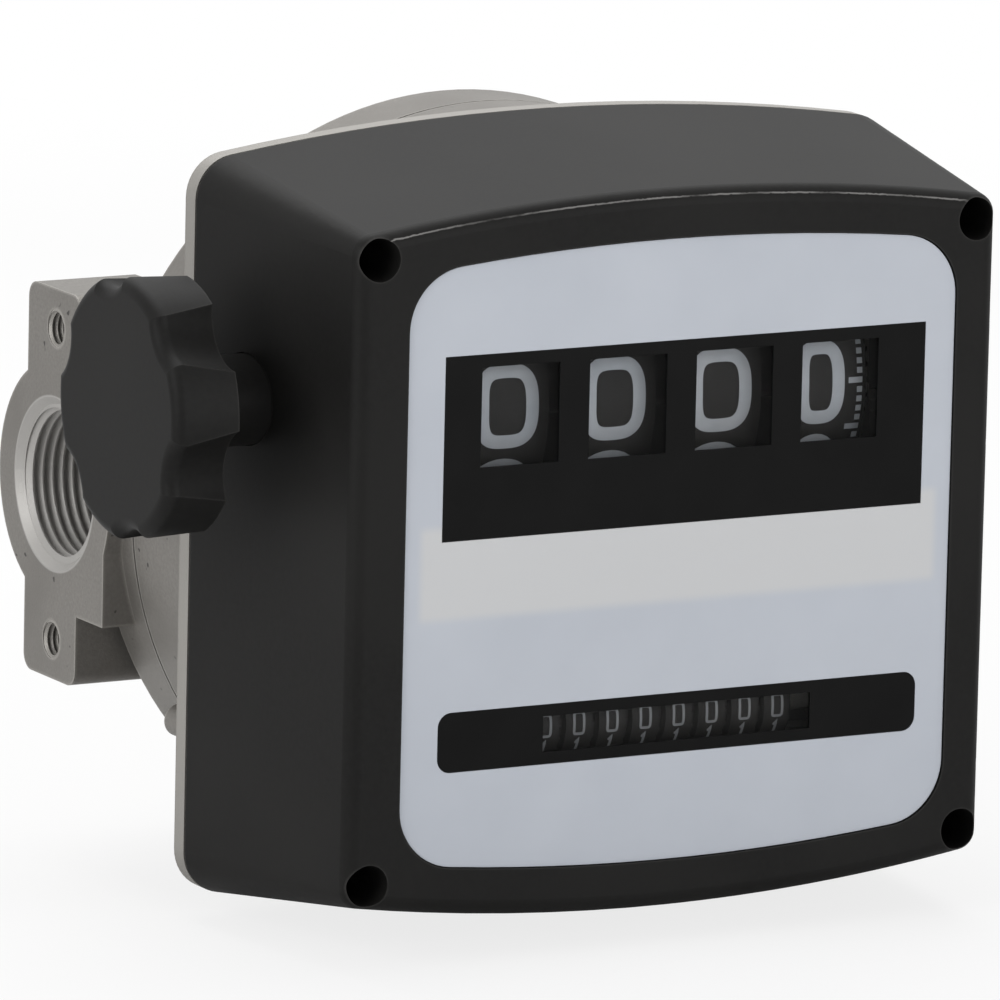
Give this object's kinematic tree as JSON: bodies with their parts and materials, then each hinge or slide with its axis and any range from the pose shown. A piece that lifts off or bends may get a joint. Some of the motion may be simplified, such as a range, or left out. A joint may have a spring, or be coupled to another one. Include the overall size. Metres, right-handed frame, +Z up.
{
  "type": "mechanical fuel meter",
  "caption": "Inline mechanical fuel meter with a nutating disc chamber, a resettable number wheel counter, a totalizer and a side reset knob.",
  "frame": {"origin": "on the port axis, where the inlet port's thread starts, 1.5 mm behind its mouth", "axes": "+X along the flow from inlet to outlet, -Y towards the reader of the counter, +Z up"},
  "size_m": [0.1909, 0.147, 0.1635],
  "materials": {
    "moulded_black": "fine moulded texture, slightly faded on top",
    "cast_aluminium": "as cast, machined at the mouths and faces",
    "label_film": "printed silver film",
    "mask_film": "black printed film",
    "window": "clear moulded window",
    "gasket_rubber": "dull",
    "steel": "turned or rolled, zinc plated",
    "bushing_brass": "turned",
    "chamber_metal": "machined",
    "disc_polymer": "moulded",
    "gear_polymer": "moulded acetal",
    "drum_polymer": "moulded, white numerals",
    "pinion_polymer": "moulded acetal"
  },
  "bodies": {
    "meter_housing": {"front_cover": "moulded_black", "cover_gasket": "gasket_rubber", "cover_screws": "steel", "face_label": "label_film", "counter_mask": "mask_film", "totalizer_mask": "mask_film", "counter_lens": "window", "totalizer_lens": "window", "front_housing": "cast_aluminium", "housing_gasket": "gasket_rubber", "housing_screws": "steel", "rear_housing": "cast_aluminium", "drive_bush": "bushing_brass", "register_frame": "steel", "frame_screws": "steel", "axle_bushes": "bushing_brass", "carry_shaft": "steel", "totalizer_axle": "steel", "totalizer_carry_shaft": "steel", "first_stud": "steel", "chamber_front_half": "chamber_metal", "chamber_rear_half": "chamber_metal", "partition_plate": "chamber_metal", "inlet_strainer": "steel", "calibration_cap": "chamber_metal"},
    "knob_group": {"reset_knob": "moulded_black", "drum_axle": "steel", "knob_pin": "steel"},
    "crank_group": {"drive_shaft": "steel", "crank_arm": "chamber_metal", "drive_bevel": "gear_polymer"},
    "disc_group": {"nutating_disc": "disc_polymer"},
    "lay_shaft_group": {"lay_bevel": "gear_polymer"},
    "first_gear_group": {"first_gear": "gear_polymer"},
    "second_gear_group": {"second_gear": "gear_polymer"},
    "lay_gear_group": {"lay_gear": "gear_polymer"},
    "units_drum": {"units_wheel": "drum_polymer"},
    "tens_drum": {"tens_wheel": "drum_polymer"},
    "hundreds_drum": {"hundreds_wheel": "drum_polymer"},
    "thousands_drum": {"thousands_wheel": "drum_polymer"},
    "tens_carry": {"tens_carry_pinion": "pinion_polymer"},
    "hundreds_carry": {"hundreds_carry_pinion": "pinion_polymer"},
    "thousands_carry": {"thousands_carry_pinion": "pinion_polymer"},
    "totalizer_1": {"totalizer_wheel_1": "drum_polymer", "totalizer_input": "gear_polymer"},
    "totalizer_2": {"totalizer_wheel_2": "drum_polymer"},
    "totalizer_3": {"totalizer_wheel_3": "drum_polymer"},
    "totalizer_4": {"totalizer_wheel_4": "drum_polymer"},
    "totalizer_5": {"totalizer_wheel_5": "drum_polymer"},
    "totalizer_6": {"totalizer_wheel_6": "drum_polymer"},
    "totalizer_7": {"totalizer_wheel_7": "drum_polymer"},
    "totalizer_8": {"totalizer_wheel_8": "drum_polymer"},
    "totalizer_carry_2": {"totalizer_pinion_2": "pinion_polymer"},
    "totalizer_carry_3": {"totalizer_pinion_3": "pinion_polymer"},
    "totalizer_carry_4": {"totalizer_pinion_4": "pinion_polymer"},
    "totalizer_carry_5": {"totalizer_pinion_5": "pinion_polymer"},
    "totalizer_carry_6": {"totalizer_pinion_6": "pinion_polymer"},
    "totalizer_carry_7": {"totalizer_pinion_7": "pinion_polymer"},
    "totalizer_carry_8": {"totalizer_pinion_8": "pinion_polymer"},
    "calibration_group": {"calibration_screw": "bushing_brass"}
  },
  "joints": [
    {"name": "crank_turn", "type": "hinge", "parent": "meter_housing", "child": "crank_group", "pos_m": [0.0819, 0, 0], "axis": [0, 1, 0], "continuous": true},
    {"name": "disc_nutation", "type": "hinge", "parent": "crank_group", "child": "disc_group", "pos_m": [0.0819, 0, 0], "axis": [-0.2334, 0.9724, 0], "continuous": true},
    {"name": "lay_shaft_turn", "type": "hinge", "parent": "meter_housing", "child": "lay_shaft_group", "pos_m": [0.0819, -0.05, 0], "axis": [1, 0, 0], "continuous": true},
    {"name": "first_gear_turn", "type": "hinge", "parent": "meter_housing", "child": "first_gear_group", "pos_m": [0.0819, -0.06001, -0.02291], "axis": [1, 0, 0], "continuous": true},
    {"name": "second_gear_turn", "type": "hinge", "parent": "meter_housing", "child": "second_gear_group", "pos_m": [0.0819, -0.07841, 0.00078], "axis": [1, 0, 0], "continuous": true},
    {"name": "lay_gear_turn", "type": "hinge", "parent": "meter_housing", "child": "lay_gear_group", "pos_m": [0.0819, -0.0844, -0.02657], "axis": [1, 0, 0], "continuous": true},
    {"name": "units_turn", "type": "hinge", "parent": "meter_housing", "child": "units_drum", "pos_m": [0.0819, -0.0751, 0.0306], "axis": [1, 0, 0], "continuous": true},
    {"name": "tens_turn", "type": "hinge", "parent": "meter_housing", "child": "tens_drum", "pos_m": [0.0819, -0.0751, 0.0306], "axis": [1, 0, 0], "continuous": true},
    {"name": "hundreds_turn", "type": "hinge", "parent": "meter_housing", "child": "hundreds_drum", "pos_m": [0.0819, -0.0751, 0.0306], "axis": [1, 0, 0], "continuous": true},
    {"name": "thousands_turn", "type": "hinge", "parent": "meter_housing", "child": "thousands_drum", "pos_m": [0.0819, -0.0751, 0.0306], "axis": [1, 0, 0], "continuous": true},
    {"name": "tens_carry_turn", "type": "hinge", "parent": "meter_housing", "child": "tens_carry", "pos_m": [0.0819, -0.08674, -0.00137], "axis": [1, 0, 0], "continuous": true},
    {"name": "hundreds_carry_turn", "type": "hinge", "parent": "meter_housing", "child": "hundreds_carry", "pos_m": [0.0819, -0.08674, -0.00137], "axis": [1, 0, 0], "continuous": true},
    {"name": "thousands_carry_turn", "type": "hinge", "parent": "meter_housing", "child": "thousands_carry", "pos_m": [0.0819, -0.08674, -0.00137], "axis": [1, 0, 0], "continuous": true},
    {"name": "totalizer_1_turn", "type": "hinge", "parent": "meter_housing", "child": "totalizer_1", "pos_m": [0.0819, -0.098, -0.035], "axis": [1, 0, 0], "continuous": true},
    {"name": "totalizer_2_turn", "type": "hinge", "parent": "meter_housing", "child": "totalizer_2", "pos_m": [0.0819, -0.098, -0.035], "axis": [1, 0, 0], "continuous": true},
    {"name": "totalizer_3_turn", "type": "hinge", "parent": "meter_housing", "child": "totalizer_3", "pos_m": [0.0819, -0.098, -0.035], "axis": [1, 0, 0], "continuous": true},
    {"name": "totalizer_4_turn", "type": "hinge", "parent": "meter_housing", "child": "totalizer_4", "pos_m": [0.0819, -0.098, -0.035], "axis": [1, 0, 0], "continuous": true},
    {"name": "totalizer_5_turn", "type": "hinge", "parent": "meter_housing", "child": "totalizer_5", "pos_m": [0.0819, -0.098, -0.035], "axis": [1, 0, 0], "continuous": true},
    {"name": "totalizer_6_turn", "type": "hinge", "parent": "meter_housing", "child": "totalizer_6", "pos_m": [0.0819, -0.098, -0.035], "axis": [1, 0, 0], "continuous": true},
    {"name": "totalizer_7_turn", "type": "hinge", "parent": "meter_housing", "child": "totalizer_7", "pos_m": [0.0819, -0.098, -0.035], "axis": [1, 0, 0], "continuous": true},
    {"name": "totalizer_8_turn", "type": "hinge", "parent": "meter_housing", "child": "totalizer_8", "pos_m": [0.0819, -0.098, -0.035], "axis": [1, 0, 0], "continuous": true},
    {"name": "totalizer_carry_2_turn", "type": "hinge", "parent": "meter_housing", "child": "totalizer_carry_2", "pos_m": [0.0819, -0.08941, -0.04359], "axis": [1, 0, 0], "continuous": true},
    {"name": "totalizer_carry_3_turn", "type": "hinge", "parent": "meter_housing", "child": "totalizer_carry_3", "pos_m": [0.0819, -0.08941, -0.04359], "axis": [1, 0, 0], "continuous": true},
    {"name": "totalizer_carry_4_turn", "type": "hinge", "parent": "meter_housing", "child": "totalizer_carry_4", "pos_m": [0.0819, -0.08941, -0.04359], "axis": [1, 0, 0], "continuous": true},
    {"name": "totalizer_carry_5_turn", "type": "hinge", "parent": "meter_housing", "child": "totalizer_carry_5", "pos_m": [0.0819, -0.08941, -0.04359], "axis": [1, 0, 0], "continuous": true},
    {"name": "totalizer_carry_6_turn", "type": "hinge", "parent": "meter_housing", "child": "totalizer_carry_6", "pos_m": [0.0819, -0.08941, -0.04359], "axis": [1, 0, 0], "continuous": true},
    {"name": "totalizer_carry_7_turn", "type": "hinge", "parent": "meter_housing", "child": "totalizer_carry_7", "pos_m": [0.0819, -0.08941, -0.04359], "axis": [1, 0, 0], "continuous": true},
    {"name": "totalizer_carry_8_turn", "type": "hinge", "parent": "meter_housing", "child": "totalizer_carry_8", "pos_m": [0.0819, -0.08941, -0.04359], "axis": [1, 0, 0], "continuous": true},
    {"name": "knob_turn", "type": "hinge", "parent": "meter_housing", "child": "knob_group", "pos_m": [0.0819, -0.0751, 0.0306], "axis": [1, 0, 0], "continuous": true},
    {"name": "calibration_turn", "type": "hinge", "parent": "meter_housing", "child": "calibration_group", "pos_m": [0.0819, 0.0273, 0.0546], "axis": [0, 1, 0], "range_deg": [-180, 180]}
  ],
  "couplings": [
    {"joint": "disc_nutation", "follows": "crank_turn", "ratio": -1},
    {"joint": "lay_shaft_turn", "follows": "crank_turn", "ratio": -1},
    {"joint": "first_gear_turn", "follows": "crank_turn", "ratio": 0.25},
    {"joint": "second_gear_turn", "follows": "crank_turn", "ratio": -0.05},
    {"joint": "lay_gear_turn", "follows": "crank_turn", "ratio": 0.016667},
    {"joint": "units_turn", "follows": "crank_turn", "ratio": 0.01},
    {"joint": "tens_turn", "follows": "crank_turn", "ratio": 0.001},
    {"joint": "hundreds_turn", "follows": "crank_turn", "ratio": 0.0001},
    {"joint": "thousands_turn", "follows": "crank_turn", "ratio": 0.00001},
    {"joint": "tens_carry_turn", "follows": "crank_turn", "ratio": -0.0025},
    {"joint": "hundreds_carry_turn", "follows": "crank_turn", "ratio": -0.00025},
    {"joint": "thousands_carry_turn", "follows": "crank_turn", "ratio": -0.000025},
    {"joint": "totalizer_1_turn", "follows": "crank_turn", "ratio": -0.01},
    {"joint": "totalizer_2_turn", "follows": "crank_turn", "ratio": -0.001},
    {"joint": "totalizer_3_turn", "follows": "crank_turn", "ratio": -0.0001},
    {"joint": "totalizer_4_turn", "follows": "crank_turn", "ratio": -0.00001},
    {"joint": "totalizer_5_turn", "follows": "crank_turn", "ratio": -0.000001},
    {"joint": "totalizer_6_turn", "follows": "crank_turn", "ratio": -0.0000001},
    {"joint": "totalizer_7_turn", "follows": "crank_turn", "ratio": -0.00000001},
    {"joint": "totalizer_8_turn", "follows": "crank_turn", "ratio": -0.000000001},
    {"joint": "totalizer_carry_2_turn", "follows": "crank_turn", "ratio": 0.002},
    {"joint": "totalizer_carry_3_turn", "follows": "crank_turn", "ratio": 0.0002},
    {"joint": "totalizer_carry_4_turn", "follows": "crank_turn", "ratio": 0.00002},
    {"joint": "totalizer_carry_5_turn", "follows": "crank_turn", "ratio": 0.000002},
    {"joint": "totalizer_carry_6_turn", "follows": "crank_turn", "ratio": 0.0000002},
    {"joint": "totalizer_carry_7_turn", "follows": "crank_turn", "ratio": 0.00000002},
    {"joint": "totalizer_carry_8_turn", "follows": "crank_turn", "ratio": 0.000000002}
  ]
}
